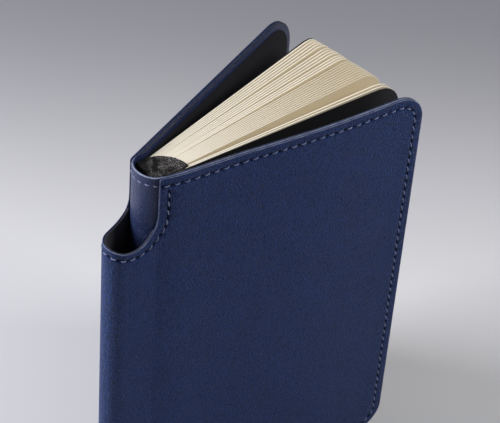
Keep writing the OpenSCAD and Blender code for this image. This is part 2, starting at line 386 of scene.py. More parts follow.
def build(name, verts, faces, side="front"):
    """A mesh object from hinge-plane millimetres; what the back shares is mirrored."""
    verts = np.array(verts, float)
    if side == "back":
        verts[:, 1] *= -1
        faces = flipped(faces)
    mesh = bpy.data.meshes.new(name)
    mesh.from_pydata([tuple(v) for v in place(verts)], [], faces)
    mesh.validate()
    mesh.shade_smooth()
    obj = bpy.data.objects.new(name, mesh)
    bpy.context.scene.collection.objects.link(obj)
    return obj


class Skin:
    """A mesh under construction, with its rim values, which the materials read: above 0 where a
    rounded edge carries a painted highlight and at a leaf's cut edges,
    and below 0 where it is dark: the flat of an edge, and painted shade on the back's edges and
    in the needle holes."""

    def __init__(self):
        self.points, self.rim, self.faces, self.count = [], [], [], 0

    def add(self, points, rim, faces=()):
        """Adds points, and faces numbered from the first of them; returns their numbers."""
        first = self.count
        self.points.append(points)
        self.rim.append(np.broadcast_to(rim, len(points)))
        self.faces += [tuple(first + i for i in f) for f in faces]
        self.count += len(points)
        return range(first, self.count)

    def bridge(self, a, b):
        """Faces between two rings of point numbers."""
        self.faces += [(a[i], b[i], b[j], a[j]) for i, j in loop_edges(len(a))]

    def build(self, name, side="front", sharp=SHARP_CUT):
        obj = build(name, np.vstack(self.points), self.faces, side)
        obj.data.set_sharp_from_angle(angle=sharp)
        rim = obj.data.attributes.new("rim", "FLOAT", "POINT")
        rim.data.foreach_set("value", np.concatenate(self.rim).astype(np.float32))
        return obj


# ---- Leather sheets ----

# A padded edge falls away over this distance; a jacket's edge falls by the crown
CROWN_REACH, JACKET_CROWN = 3.6, 0.35
# Rim values: the flat of an edge is dark, the front's rounded edges carry a pale painted
# highlight, and the back's edges a painted shade
EDGE_SHADE = -0.75
PAINTED_RIM_LIGHT_BY_SIDE = {"front": 1.0, "back": -0.4}
GROOVE_DEPTH, GROOVE_W = 0.30, 0.65
HOLE_DEPTH, HOLE_W = 0.55, 0.55
# Grid points keep this far from the rows of points beside a seam
ROW_CLEAR = 0.9


def rim_profile(t, r_out, r_in, n=4):
    """(inset, depth) pairs of a sheet's edge, from its outer face round to its inner face."""
    turn = quarter_turn(n)
    outer = [(r_out * (1 - math.sin(a)), r_out * (1 - math.cos(a))) for a in turn]
    return outer + [(r_in * (1 - math.cos(a)), t - r_in * (1 - math.sin(a))) for a in turn]


def crowned(crown, distance):
    """How far a padded edge has fallen at this distance from the outline."""
    return crown * np.clip(1 - distance / CROWN_REACH, 0, 1) ** 2


def face_depths(points, edge, base, crown, seams):
    """Depths of a sheet's outer face, and its rim values, which paint shade into the needle
    holes.
    """
    depth, rim = np.full(len(points), base), np.zeros(len(points))
    if crown:
        depth += crowned(crown, nearest(edge, points))
    if seams:
        line = np.vstack([even(seam, 0.15)[0] for seam in seams])
        depth += GROOVE_DEPTH * np.exp(-(nearest(line, points) / GROOVE_W) ** 2)
        hole = nearest(seam_hole_points(seams), points)
        depth += HOLE_DEPTH * np.exp(-(hole / HOLE_W) ** 2)
        # Rim values below 0 paint shade into the needle holes
        rim = -np.exp(-(hole / GROOVE_W) ** 4)
    return depth, rim


def leather_sheet(side, name, path, pattern, base, t, rounding, grid, seams=None, crown=0.0):
    """A sheet bent along a plan path, with rounded edges and sunken seams."""
    outline, cut = pattern
    n = len(outline)
    profile = rim_profile(t, *rounding)
    inwards = edge_normals(outline) * np.where(cut, 0.0, 1.0)[:, None]
    rings = [outline + inwards * inset for inset, _ in profile]
    inner_points = grid
    if seams:
        rows = seam_rows(seams)
        inner_points = np.vstack([grid[nearest(rows, grid) > ROW_CLEAR], rows])
    front, front_faces = fill(rings[0], inner_points, 0.35)
    back, back_faces = fill(rings[-1], grid, 0.5)
    depth, rim = face_depths(front, outline[~cut], base, crown, seams)
    sunk = depth[:n] - base
    sink = [np.where(cut, sunk, crowned(crown, inset)) for inset, _ in profile]
    depth[:n] = base + sink[0]

    skin = Skin()
    previous = skin.add(path.at(front, depth), rim, front_faces)[:n]
    last_round = len(profile) // 2 - 1
    for k in range(1, len(rings) - 1):
        fade = 1 - min(k, last_round) / last_round
        # Rounded rings carry the side's painted edge light: a highlight on the front, shade on
        # the back
        current = skin.add(path.at(rings[k], base + profile[k][1] + sink[k] * fade),
                           PAINTED_RIM_LIGHT_BY_SIDE[side] if k < last_round else EDGE_SHADE)
        skin.bridge(previous, current)
        previous = current
    current = skin.add(path.at(back, base + t), 0.0, flipped(back_faces))
    skin.bridge(previous, current[:n])
    return skin.build(f"{side}_{name}", side)


# ---- Joints that the leather crosses ----

# Half the width of the bend in x, and its reach in y towards the spine
HINGE_ZONE = (2.5, -2.25)


def bend_at_hinge(obj, side):
    """Bakes a piece's placement into its mesh; the ends of its bend across the cover's hinge
    line are worked out, but nothing bends it.
    """
    dx, dy = HINGE_ZONE
    sign = 1 if side == "front" else -1
    start = place([-dx, (-HINGE_HALF - dy) * sign, 0])
    end = place([dx, (-HINGE_HALF + dy) * sign, 0])
    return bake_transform(obj)


# ---- Materials ----

class Nodes:
    """A short way to write a material's node tree."""

    def __init__(self, name):
        self.material = bpy.data.materials.new(name)
        self.material.use_nodes = True
        self.tree = self.material.node_tree
        self.tree.nodes.clear()
        self.shader = self.add("BsdfPrincipled")
        self.add("OutputMaterial", {"Surface": self.shader.outputs["BSDF"]})
        place_in_m = self.add("TexCoord").outputs["Object"]
        self.mm = self.add("VectorMath", {0: place_in_m, "Scale": 1 / MM},
                           operation="SCALE").outputs["Vector"]

    def add(self, kind, inputs=None, **settings):
        """Adds a node, and feeds its inputs by name or number."""
        node = self.tree.nodes.new("ShaderNode" + kind)
        for key, value in settings.items():
            setattr(node, key, value)
        for key, value in (inputs or {}).items():
            self.feed(node.inputs[key], value)
        return node

    def feed(self, socket, value):
        """Links another node's output to a socket, or sets a number or colour on it."""
        if isinstance(value, bpy.types.NodeSocket):
            self.tree.links.new(value, socket)
        elif socket.type == "RGBA":
            socket.default_value = (*value, 1.0)
        else:
            socket.default_value = value

    def finish(self, colour, rough, normal=None, **constants):
        """Feeds the shader; constants are set on its own sockets."""
        self.feed(self.shader.inputs["Base Color"], colour)
        self.feed(self.shader.inputs["Roughness"], rough)
        if normal:
            self.feed(self.shader.inputs["Normal"], normal)
        for key, value in constants.items():
            self.shader.inputs[key.replace("_", " ")].default_value = value
        return self.material

    def axes(self):
        return self.add("SeparateXYZ", {0: self.mm}).outputs

    def noise(self, scale, detail=2.0, rough=0.5, distortion=0.0):
        return self.add("TexNoise", {
            "Scale": scale, "Detail": detail, "Roughness": rough, "Distortion": distortion,
            "Vector": self.mm}).outputs["Fac"]

    def cells(self, vector, feature):
        return self.add("TexVoronoi", {"Vector": vector, "Scale": 1.0},
                        feature=feature)

    def math(self, operation, a, b=0.0, clamp=False):
        return self.add("Math", {0: a, 1: b}, operation=operation,
                        use_clamp=clamp).outputs[0]

    def ramp(self, value, low, high, out_low=0.0, out_high=1.0, kind="LINEAR"):
        return self.add("MapRange", {
            "Value": value, "From Min": low, "From Max": high, "To Min": out_low,
            "To Max": out_high}, interpolation_type=kind).outputs["Result"]

    def mix(self, factor, a, b):
        return self.add("Mix", {0: factor, 6: a, 7: b}, data_type="RGBA").outputs[2]

    def bump(self, height, distance_mm, strength=1.0):
        return self.add("Bump", {
            "Strength": strength, "Distance": distance_mm * MM,
            "Height": height}).outputs["Normal"]

    def attribute(self, name):
        return self.add("Attribute", attribute_name=name).outputs["Fac"]


def leather_material(name, dark, light, painted_edge_light, grain=1.0, specular=0.22, rough=0.32):
    """Fine pebbled leather with a satin finish, paler where its rounded edges carry a painted
    highlight.
    """
    m = Nodes(name)
    # Pebbles about 1 mm across, whose borders drift
    drift = m.noise(0.7).node.outputs["Color"]
    warp = m.add("VectorMath", {0: drift, 1: (1.0, 1.0, 1.0), 2: m.mm},
                 operation="MULTIPLY_ADD").outputs[0]
    pebbles = m.cells(warp, "SMOOTH_F1")
    pebbles.inputs["Smoothness"].default_value = 0.35
    pebble = pebbles.outputs["Distance"]
    crease = m.cells(warp, "DISTANCE_TO_EDGE").outputs["Distance"]
    pores = m.noise(1.7, 1.5, 0.5)
    broad = m.noise(0.045, 3.0, 0.55)
    mottle = m.noise(0.9, 3.0, 0.65)
    colour = m.mix(m.ramp(broad, 0.3, 0.7), dark, light)
    colour = m.mix(m.ramp(mottle, 0.35, 0.7, 0.0, 0.6), colour, light)
    # Pale specks on the raised pores are painted highlights, and the darkened creases between
    # pebbles are painted shade
    colour = m.mix(m.ramp(pores, 0.48, 0.66, 0.0, 0.7 * grain), colour,
                   tuple(c * 2.2 for c in light))
    colour = m.mix(m.ramp(crease, 0.0, 0.22, 0.7 * grain, 0.0), colour,
                   tuple(c * 0.3 for c in dark))
    # Painted highlight on rounded edges; dark edge flats, and painted shade on the back's edges
    # and in the needle holes
    edge = m.attribute("rim")
    rim = m.math("MULTIPLY", edge, m.ramp(m.noise(0.25, 3.0), 0.35, 0.65, 0.45, 1.0), True)
    colour = m.mix(m.math("MULTIPLY", rim, 0.85), colour, painted_edge_light)
    hole = m.math("MULTIPLY", edge, -0.85, True)
    colour = m.mix(hole, colour, tuple(c * 0.12 for c in dark))
    satin = m.math("ADD", m.ramp(mottle, 0.3, 0.7, rough, rough + 0.12),
                   m.ramp(crease, 0.0, 0.15, 0.12, 0.0))
    height = m.math("ADD", m.ramp(crease, 0.0, 0.22), m.math("MULTIPLY", pores, 0.8))
    height = m.math("SUBTRACT", height, m.math("MULTIPLY", pebble, 0.4))
    return m.finish(colour, satin, m.bump(height, 0.34 * grain), Specular_IOR_Level=specular,
                    Sheen_Weight=0.05, Sheen_Roughness=0.25)


def fabric_material(name, dark, light, weave=2.2, lift=0.12, rough=0.85):
    """Plain woven cloth: two crossed waves with fuzz."""
    m = Nodes(name)
    x, y, z = m.axes()
    turns = 2 * math.pi * weave
    warp = m.math("SINE", m.math("MULTIPLY", m.math("ADD", x, y), turns))
    weft = m.math("SINE", m.math("MULTIPLY", z, turns))
    threads = m.math("MULTIPLY", warp, weft)
    fuzz = m.noise(3.5, 3.0, 0.7)
    height = m.math("ADD", m.math("MULTIPLY", threads, 0.35), fuzz)
    # Colour follows the weave's height: darker in its hollows, as painted shade, with the
    # fuzz's random tone
    colour = m.mix(m.ramp(height, 0.2, 0.9), dark, light)
    colour = m.mix(m.ramp(m.noise(0.12, 2.0), 0.3, 0.7, 0.0, 0.3), colour, dark)
    return m.finish(colour, m.ramp(fuzz, 0.3, 0.7, rough - 0.08, rough + 0.08),
                    m.bump(height, lift, 0.7), Specular_IOR_Level=0.2)


def tangled_material(name, dark, light, fleck, turns=4.2):
    """Fuzzy cloth, woven at a slant, with stray pale fibres in patches."""
    m = Nodes(name)
    x, y, _ = m.axes()
    turned = m.math("ADD", x, m.math("MULTIPLY", y, 1.7))
    across = m.math("SUBTRACT", m.math("MULTIPLY", x, 1.7), y)
    warp, weft = (m.math("SINE", m.math("MULTIPLY", v, turns)) for v in (turned, across))
    fuzz = m.noise(2.3, 4.0, 0.75, distortion=0.6)
    height = m.math("ADD", m.math("MULTIPLY", m.math("MULTIPLY", warp, weft), 0.45), fuzz)
    # Colour follows the weave's height: darker in its hollows, as painted shade, with the
    # fuzz's random tone
    colour = m.mix(m.ramp(height, 0.25, 1.0), dark, light)
    patch = m.ramp(m.noise(0.16, 2.0), 0.45, 0.62, 0.03, 1.0)
    stray = m.ramp(m.noise(2.2, 3.0, 0.7, distortion=1.6), 0.52, 0.62)
    colour = m.mix(m.math("MULTIPLY", patch, stray, clamp=True), colour, fleck)
    return m.finish(colour, m.ramp(fuzz, 0.3, 0.7, 0.7, 0.95), m.bump(height, 0.35, 0.9),
                    Specular_IOR_Level=0.12)


def paper_material(name, colour, shade, rough=0.8, fibre=0.015, paler_edge_over_shaded_face=None):
    """Uncoated paper with fine fibre and slight toning; its cut edges may be paler than its
    faces, whose darker tint is painted shade.
    """
    m = Nodes(name)
    fine = m.noise(5.0, 3.0, 0.6)
    tint = m.mix(m.ramp(m.noise(0.03, 2.0), 0.3, 0.7, 0.0, 0.5), colour, shade)
    tint = m.mix(m.ramp(fine, 0.35, 0.75, 0.0, 0.35), tint, shade)
    if paler_edge_over_shaded_face:
        tint = m.mix(m.math("POWER", m.attribute("rim"), 2.0), tint, paler_edge_over_shaded_face)
    return m.finish(tint, m.ramp(fine, 0.3, 0.7, rough - 0.06, rough + 0.06),
                    m.bump(fine, fibre, 0.5), Specular_IOR_Level=0.35)


def thread_material(name, colour, shade, twist=2.6):
    """Waxed sewing thread with a fine twist, painted darker in the twist's grooves as shade."""
    m = Nodes(name)
    x, y, z = m.axes()
    along = m.math("ADD", m.math("ADD", x, y), z)
    ply = m.math("SINE", m.math("MULTIPLY", along, 2 * math.pi * twist))
    fuzz = m.noise(6.0, 2.0, 0.6)
    height = m.math("ADD", m.math("MULTIPLY", ply, 0.5), fuzz)
    return m.finish(m.mix(m.ramp(height, -0.1, 1.0), shade, colour),
                    m.ramp(fuzz, 0.3, 0.7, 0.4, 0.6), m.bump(height, 0.05, 0.7),
                    Specular_IOR_Level=0.5, Sheen_Weight=0.1)


# Each leather's colours: dark, light, and the pale painted highlight of its rounded edges
NAVY = (0.0095, 0.031, 0.132), (0.015, 0.049, 0.198), (0.36, 0.41, 0.56)
DARK_NAVY = (0.011, 0.021, 0.070), (0.017, 0.032, 0.105), (0.36, 0.41, 0.56)
LEATHER = leather_material("navy_leather", *NAVY)
SMOOTH_LEATHER = leather_material("smooth_navy_leather", *DARK_NAVY, grain=0.4, specular=0.45,
                                  rough=0.24)
LINING = fabric_material("black_lining", (0.010, 0.0095, 0.012), (0.026, 0.024, 0.028))
# The sleeve's lining is the black lining painted several times lighter: painted light in the
# shade inside the sleeve
SLEEVE_LINING_PAINTED_LIGHTER = fabric_material("sleeve_lining", (0.07, 0.066, 0.078), (0.12, 0.115, 0.13))
CLOTH = tangled_material("black_cloth", (0.003, 0.0028, 0.0028), (0.016, 0.015, 0.016),
                         (0.52, 0.50, 0.49))
BLACK_PAPER = paper_material("black_paper", (0.014, 0.014, 0.016), (0.009, 0.009, 0.010), 0.48)
# Cream paper whose faces are darker and browner than its cut edges: painted shade between the
# leaves
PAPER = paper_material("cream_paper", (0.70, 0.605, 0.425), (0.62, 0.52, 0.35),
                       paler_edge_over_shaded_face=(0.94, 0.885, 0.755))
BOARD = paper_material("board", (0.42, 0.38, 0.31), (0.34, 0.30, 0.24), 0.85, 0.05)
THREAD = thread_material("stitching", (0.36, 0.40, 0.60), (0.11, 0.14, 0.28))
SEWING = thread_material("sewing_thread", (0.80, 0.76, 0.64), (0.60, 0.55, 0.45))


def finish_with(obj, material, slot, *nodes):
    """Gives a piece its material and puts it in place of CAD nodes."""
    obj.data.materials.clear()
    obj.data.materials.append(material)
    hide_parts(*nodes)


# ---- Seams ----

# The cover's seam starts here; beside the mouth it moves to a narrower margin over this s
SEAM_START = 0.9
MOUTH_MARGIN, MOUTH_BLEND = 3.5, (-4.0, -11.0)
BRANCH_RISE = 1.4
SEAM_TURNS = np.radians(range(3, 88, 3))
# Rows of mesh points beside a seam, and the least distance between two of them
SEAM_ROWS, ROW_STEP, ROW_GAP, ROW_CELL = (-0.95, -0.45, 0.0, 0.45, 0.95), 0.55, 0.33, 0.4
# Needle holes along the seam, as shares of the pitch from a stitch's middle
HOLE_PLACES = (-0.5, -0.38, 0.38, 0.5)
# A stitch: its half width and half thickness, how deep its ends dive and how far it rises
THREAD_W, THREAD_H, THREAD_DIVE, THREAD_RISE = 0.27, 0.22, 0.62, 0.72
THREAD_SIDES, THREAD_STATIONS = 8, 9
SLANT, SPINE_SLANT, SLANT_SPREAD = 10, -6, 3


def perimeter_seam(side):
    """The seam round a cover, from the hinge along the head, fore-edge and tail."""
    corner = CORNERS[side]
    m, r = STITCH_MARGIN, corner - STITCH_MARGIN
    far, top = COVER_W - corner, COVER_H - STITCH_MARGIN
    points = [(SEAM_START, top), (far, top)]
    points += [(far + r * math.sin(a), COVER_H - corner + r * math.cos(a)) for a in SEAM_TURNS]
    points += [(COVER_W - m, COVER_H - corner), (COVER_W - m, corner)]
    points += [(far + r * math.cos(a), corner - r * math.sin(a)) for a in SEAM_TURNS]
    return points + [(far, m), (SEAM_START, m)]


def mouth_seam(side, s_end):
    """The seam beside the mouth: down by the hinge line, round its bend and across."""
    edge = [(0.0, COVER_H - 2 * STITCH_MARGIN + BRANCH_RISE)]
    line, _ = even(edge + mouth_curve(side, sleeve_girth - 0.2), 0.3)
    margin = STITCH_MARGIN - (STITCH_MARGIN - MOUTH_MARGIN) * smooth(*MOUTH_BLEND, line[:, 0])
    offset = line + left_of(np.gradient(line, axis=0)) * margin[:, None]
    return [tuple(p) for p in offset if p[0] > s_end]


def stitch_places(seam, pitch=STITCH_PITCH):
    """Centre and direction of each stitch along a seam."""
    line, at = even(seam, 0.2)
    count = max(1, round(at[-1] / pitch))
    places = []
    for k in range(count):
        c = at[-1] * (k + 0.5) / count
        before, here, after = between(c + np.array([-0.5, 0.0, 0.5]), at, line)
        places.append((here, (after - before) / np.linalg.norm(after - before)))
    return places


def add_stitch(verts, faces, centre, along, length, slant):
    """One short arched thread whose ends dive into the leather."""
    a = math.radians(slant + rng.uniform(-SLANT_SPREAD, SLANT_SPREAD))
    e = np.array([along[0] * math.cos(a) - along[1] * math.sin(a),
                  along[0] * math.sin(a) + along[1] * math.cos(a)])
    n = np.array([-e[1], e[0]])
    half = length * rng.uniform(0.94, 1.04) / 2
    first, sides = len(verts), THREAD_SIDES
    for i in range(THREAD_STATIONS):
        u = -1 + 2 * i / (THREAD_STATIONS - 1)
        lift = -THREAD_DIVE + THREAD_RISE * (1 - abs(u) ** 3.0)
        wide = THREAD_W * (1 - 0.35 * abs(u) ** 4)
        for k in range(sides):
            b = 2 * math.pi * k / sides
            p = centre + e * u * half + n * wide * math.cos(b)
            verts.append((p[0], p[1], -lift - THREAD_H * math.sin(b)))
    for i in range(THREAD_STATIONS - 1):
        faces += [(j, k, k + sides, j + sides) for j, k in loop_edges(sides, first + i * sides)]
    faces.append(tuple(first + k for k in reversed(range(sides))))
    faces.append(tuple(len(verts) - sides + k for k in range(sides)))


def stitches(name, node, path, seams, side, slant=SLANT, length=STITCH_L, pitch=STITCH_PITCH):
    """Every stitch of some seams, in place of their CAD node."""
    verts, faces = [], []
    for seam in seams:
        for centre, along in stitch_places(seam, pitch):
            add_stitch(verts, faces, centre, along, length, slant)
    v = np.array(verts)
    thread = build(name, path.at(v[:, :2], v[:, 2]), faces, side)
    finish_with(thread, THREAD, "stitching", node)
    return thread


def seam_rows(seams):
    """Mesh points beside the seams, close enough to carry the groove and the holes."""
    rows = []
    for seam in seams:
        line, _ = even(seam, ROW_STEP)
        rows += [line + left_of(np.gradient(line, axis=0)) * d for d in SEAM_ROWS]
    kept, cell = [], {}
    for p in np.vstack(rows):
        i, j = round(p[0] / ROW_CELL), round(p[1] / ROW_CELL)
        near = any(math.dist(p, q) < ROW_GAP for di in (-1, 0, 1) for dj in (-1, 0, 1)
                   for q in cell.get((i + di, j + dj), ()))
        if not near:
            kept.append(p)
            cell.setdefault((i, j), []).append(p)
    return np.array(kept)


def seam_hole_points(seams):
    """Points along the gaps between the stitches, where the thread dives in."""
    return np.array([centre + along * STITCH_PITCH * end for seam in seams
                     for centre, along in stitch_places(seam) for end in HOLE_PLACES])


# ---- Leather, case, boards and linings ----

panel_s = np.r_[np.arange(-3.6, 4.2, 0.6), np.arange(6, COVER_W, 3.0)]
z_lines = np.arange(1.5, COVER_H, 3.0)
# Edge radii of each sheet, outer face and inner face
JACKET_ROUND, LINING_ROUND, SLEEVE_LINING_ROUND = (0.5, 0.25), (0.1, 0.18), (0.1, 0.15)
BOARD_ROUND, BOARD_PLAY = (0.12, 0.12), 0.02
# The case's rim stands in by the lip, and its outer face is this far inside its plan path
CASE_LIP, CASE_SINK = 0.06, 0.02
CASE_TURNS, CASE_OUTER_TURNS = 5, 4


def hand_over(piece, side, *finish):
    """Finishes a piece that bends at its cover's hinge."""
    finish_with(piece, *finish)
    bend_at_hinge(piece, side)


def make_jacket(side, jacket, s_cut):
    """The jacket leather of a cover and its part of the sleeve, with all its stitches."""
    perimeter, mouth = perimeter_seam(side), mouth_seam(side, s_cut)
    split = next(i for i, p in enumerate(mouth) if p[0] < STITCH_MARGIN - 0.15
                 and p[1] < COVER_H - MOUTH[0][1])
    branch, round_mouth = mouth[:split], mouth[split:]
    tail = [(-1.2, STITCH_MARGIN), (s_cut, STITCH_MARGIN)]
    grid = lattice(np.r_[np.arange(s_cut + 0.4, -3.6, 0.5), panel_s], z_lines)
    skin = leather_sheet(side, "jacket_leather", jacket, jacket_outline(side, s_cut), 0.0,
                         JACKET_T, JACKET_ROUND, grid, [perimeter, branch, round_mouth, tail],
                         JACKET_CROWN)
    hand_over(skin, side, LEATHER, "navy_leather", side + "_jacket", "pen_sleeve")
    for name, seams, node in (("_cover_seam", [perimeter, branch], side + "_stitching"),
                              ("_mouth_seam", [round_mouth], "sleeve_mouth_stitching"),
                              ("_tail_seam", [tail], "sleeve_tail_stitching")):
        bend_at_hinge(stitches(side + name, node, jacket, seams, side), side)


def make_sleeve_lining(side, jacket, s_cut):
    grid = lattice(np.arange(s_cut + 0.4, -0.6, 0.6), z_lines)
    inner = leather_sheet(side, "sleeve_lining", jacket, sleeve_lining_outline(side, s_cut),
                          JACKET_T, LINING_T, SLEEVE_LINING_ROUND, grid)
    hand_over(inner, side, SLEEVE_LINING_PAINTED_LIGHTER, "black_lining", "sleeve_lining")


def make_cover_lining(side, case, s0):
    grid = lattice(np.r_[np.arange(s0 + 0.5, 6, 0.7), np.arange(8, COVER_W, 4.0)], z_lines)
    black = leather_sheet(side, "lining_cloth", case, panel_outline(side, s0, LINING_MARGIN),
                          LINING_DEPTH, LINING_T, LINING_ROUND, grid)
    hand_over(black, side, LINING, "black_lining", side + "_lining", "spine_lining")


def make_board(side, case):
    outline, cut = panel_outline(side, TURN_IN + 0.1, TURN_IN + 0.1)
    board = leather_sheet(side, "stiff_board", case, (outline, np.zeros_like(cut)),
                          CASE_T + BOARD_PLAY, BOARD_T - 2 * BOARD_PLAY, BOARD_ROUND,
                          lattice(np.arange(14, COVER_W, 5.0), z_lines))
    finish_with(board, BOARD, "board", side + "_board")
    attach(board, side + "_cover")


def case_thickness(s):
    """One leather over the spine, and room for the board on the cover."""
    return CASE_T + BOARD_T * smooth(2.5, 7.5, s)


def case_rings(outline, cut):
    """Outlines and depths round the case's edge, from its outer face to its inner one."""
    s = outline[:, 0]
    outer = 0.2 + 0.3 * smooth(3.0, -2.0, s)
    inner = 0.25 + 0.45 * smooth(1.0, 7.5, s)
    inwards = edge_normals(outline) * np.where(cut, 0.0, 1.0)[:, None]
    turns = [(outer * (1 - math.sin(a)), outer * (1 - math.cos(a)))
             for a in quarter_turn(CASE_OUTER_TURNS)[:-1]]
    turns += [(inner * (1 - math.cos(a)), case_thickness(s) - inner * (1 - math.sin(a)))
              for a in quarter_turn(CASE_TURNS)]
    return [(outline + inwards * (CASE_LIP + inset)[:, None], depth) for inset, depth in turns]


def pocket_faces(ring, pocket, grid, clear=0.6):
    """Triangles over the case's inner face: the band round the pocket, then its floor."""
    away = grid[inside(grid, ring)]
    for edge in (ring, pocket):
        away = away[nearest(edge, away) > clear]
    points = np.vstack([ring, pocket, away])
    triangles = triangulate(points, loop_edges(len(ring)) + loop_edges(len(pocket), len(ring)))
    in_pocket = inside(np.array([points[list(f)].mean(0) for f in triangles]), pocket)
    band = [f for f, sunk in zip(triangles, in_pocket) if not sunk]
    floor = [f for f, sunk in zip(triangles, in_pocket) if sunk]
    return points, band, floor


def make_case(side, case, s0):
    """The case leather, with its edges turned in round the board's pocket."""
    outline, cut = panel_outline(side, s0, 0.0)
    n = len(outline)
    rings = case_rings(outline, cut)
    on_cover = smooth(-1.0, 6.0, outline[:, 0])
    # Painted highlight on the case's rounded edges over the spine, turning on the cover into
    # the side's painted edge light: a highlight on the front, shade on the back
    painted_edge_light = 1.0 - (1.0 - PAINTED_RIM_LIGHT_BY_SIDE[side]) * on_cover
    grid = lattice(np.r_[np.arange(s0 + 0.5, 9, 0.7), np.arange(12, COVER_W, 4.0)], z_lines)
    front, front_faces = fill(rings[0][0], grid, 0.5)
    skin = Skin()
    previous = skin.add(case.at(front, np.full(len(front), CASE_SINK)), 0.0, front_faces)[:n]
    for k, (ring, depth) in enumerate(rings[1:-1], 1):
        rim = painted_edge_light if k < CASE_OUTER_TURNS else EDGE_SHADE * on_cover
        current = skin.add(case.at(ring, depth), rim)
        skin.bridge(previous, current)
        previous = current

    pocket, _ = panel_outline(side, TURN_IN, TURN_IN, step=1.5)
    points, band, floor = pocket_faces(rings[-1][0], pocket, grid)
    inner = skin.add(case.at(points, case_thickness(points[:, 0])), 0.0, flipped(band))
    skin.bridge(previous, inner[:n])
    used = sorted({i for f in floor for i in f})
    index = {i: k for k, i in enumerate(used)}
    sunk = skin.add(case.at(points[used], CASE_T), 0.0,
                    [tuple(index[i] for i in reversed(f)) for f in floor])
    skin.faces += [(inner[i], inner[j], sunk[index[j]], sunk[index[i]])
                   for i, j in loop_edges(len(pocket), n)]
    hand_over(skin.build(side + "_case_leather", side), side, SMOOTH_LEATHER, "navy_leather",
              side + "_case", "inner_spine")


def make_side(side):
    """Everything of one cover, with its share of the sleeve and of the inner spine."""
    bow = bow_curve(side)
    jacket, case = jacket_path(bow), case_path(bow)
    s_cut = -JACKET_CUT if side == "back" else JACKET_CUT - sleeve_girth
    s_case = case.s_at(-CASE_CUT_Y if side == "back" else CASE_CUT_Y)
    make_jacket(side, jacket, s_cut)
    make_sleeve_lining(side, jacket, s_cut)
    make_case(side, case, s_case)
    make_board(side, case)
    make_cover_lining(side, case, s_case)


for side in ("front", "back"):
    make_side(side)

# The inner spine's own seams, between these y
SPINE_SEAM_ENDS, SPINE_STITCHES = (7.9, -8.9), 5
spine_path = case_path(bow_curve("front"))
low_s, high_s = (spine_path.s_at(y) for y in SPINE_SEAM_ENDS)
spine_pitch = (high_s - low_s) / SPINE_STITCHES
for end, z in (("head", COVER_H - STITCH_MARGIN), ("tail", STITCH_MARGIN)):
    seam = [(low_s, z), (high_s, z)]
    thread = stitches(f"spine_{end}_seam", f"spine_{end}_stitching", spine_path, [seam],
                      "front", SPINE_SLANT, spine_pitch * 0.72, spine_pitch)
    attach(thread, "spine")


# ---- Pages ----

LEAF_T = 0.105
# Places of a leaf's points: from the spine to the fore-edge, and from tail to head as shares
LEAF_US = [PAGE_ROOT, 6, 14, 26, 40, 55, 70, 84, 96, 106, 113]
LEAF_US += [PAGE_REACH - PAGE_CORNER + PAGE_CORNER * math.sin(math.radians(a))
            for a in (0, 18, 34, 48, 60, 70, 79, 86, 90)]
LEAF_VS = [0, 0.005, 0.02, 0.06, 0.15, 0.3, 0.5, 0.7, 0.85, 0.94, 0.98, 0.995, 1.0]
# Leaves lean back above this height. Where the lean falls from leaf to leaf, they are pressed
# together at the head, and each is thinner there by this share.
LEAN_FROM, LEAN_THINNING = 178.0, 0.85
# How far the leaves of each bunch lean back at the head, from its first leaf to its last
LEANS = [(2.1, 2.1), (3.4, 0.0), (0.0, 0.0), (0.0, 0.0), (0.0, 0.0)]
FLYLEAF_LEANS = {"front": 1.8, "back": 0.0}
# The leaves that don't lean may be this much shorter than the rest
MOST_SHORT = 0.3
LEAF_SHARP = math.radians(40)


def leaf_points(hinge_y, angle, local_y, t, lean=0.0, thinning=0.0, short=0.0):
    """Both faces of one leaf, turned about its hinge line, that leans back to its head."""
    u, v = (g.ravel() for g in np.meshgrid(LEAF_US, LEAF_VS, indexing="ij"))
    past = np.maximum(0.0, u - (PAGE_REACH - PAGE_CORNER))
    drop = PAGE_CORNER - np.sqrt(np.maximum(0.0, PAGE_CORNER ** 2 - past ** 2))
    low, high = SQUARE + drop, COVER_H - SQUARE - drop
    z = low + v * (high - low)
    bend = smooth(LEAN_FROM, COVER_H, z) * u / PAGE_REACH
    half = t / 2 * (1 - thinning * bend)
    u = u * (1 - short / PAGE_REACH)
    c, s = math.cos(math.radians(angle)), math.sin(math.radians(angle))
    y = local_y + lean * bend
    return np.vstack([np.column_stack([u * c - face_y * s, hinge_y + u * s + face_y * c, z])
                      for face_y in (y - half, y + half)])


def leaf_faces():
    """The faces of one leaf, and its rim values, which are 1 at the cut edges."""
    nu, nv = len(LEAF_US), len(LEAF_VS)
    lo = np.arange(nu * nv).reshape(nu, nv)
    hi = lo + nu * nv
    corners = [(lo[:-1, :-1], lo[1:, :-1], lo[1:, 1:], lo[:-1, 1:]),
               (hi[:-1, :-1], hi[:-1, 1:], hi[1:, 1:], hi[1:, :-1]),
               (lo[:-1, 0], hi[:-1, 0], hi[1:, 0], lo[1:, 0]),
               (lo[:-1, -1], lo[1:, -1], hi[1:, -1], hi[:-1, -1]),
               (lo[0, :-1], lo[0, 1:], hi[0, 1:], hi[0, :-1]),
               (lo[-1, :-1], hi[-1, :-1], hi[-1, 1:], lo[-1, 1:])]
    faces = [f for four in corners for f in zip(*(c.ravel().tolist() for c in four))]
    rim = np.zeros((nu, nv))
    rim[:, 0] = rim[:, -1] = rim[-1, :] = 1.0
    return faces, np.tile(rim.ravel(), 2)


LEAF_FACES, LEAF_RIM = leaf_faces()


def make_leaves(name, node, leaves, material, slot):
    """A piece of one or more leaves that turns with its own body."""
    skin = Skin()
    for leaf in leaves:
        skin.add(leaf, LEAF_RIM, LEAF_FACES)
    piece = skin.build(name, sharp=LEAF_SHARP)
    finish_with(piece, material, slot, node)
    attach(piece, node)


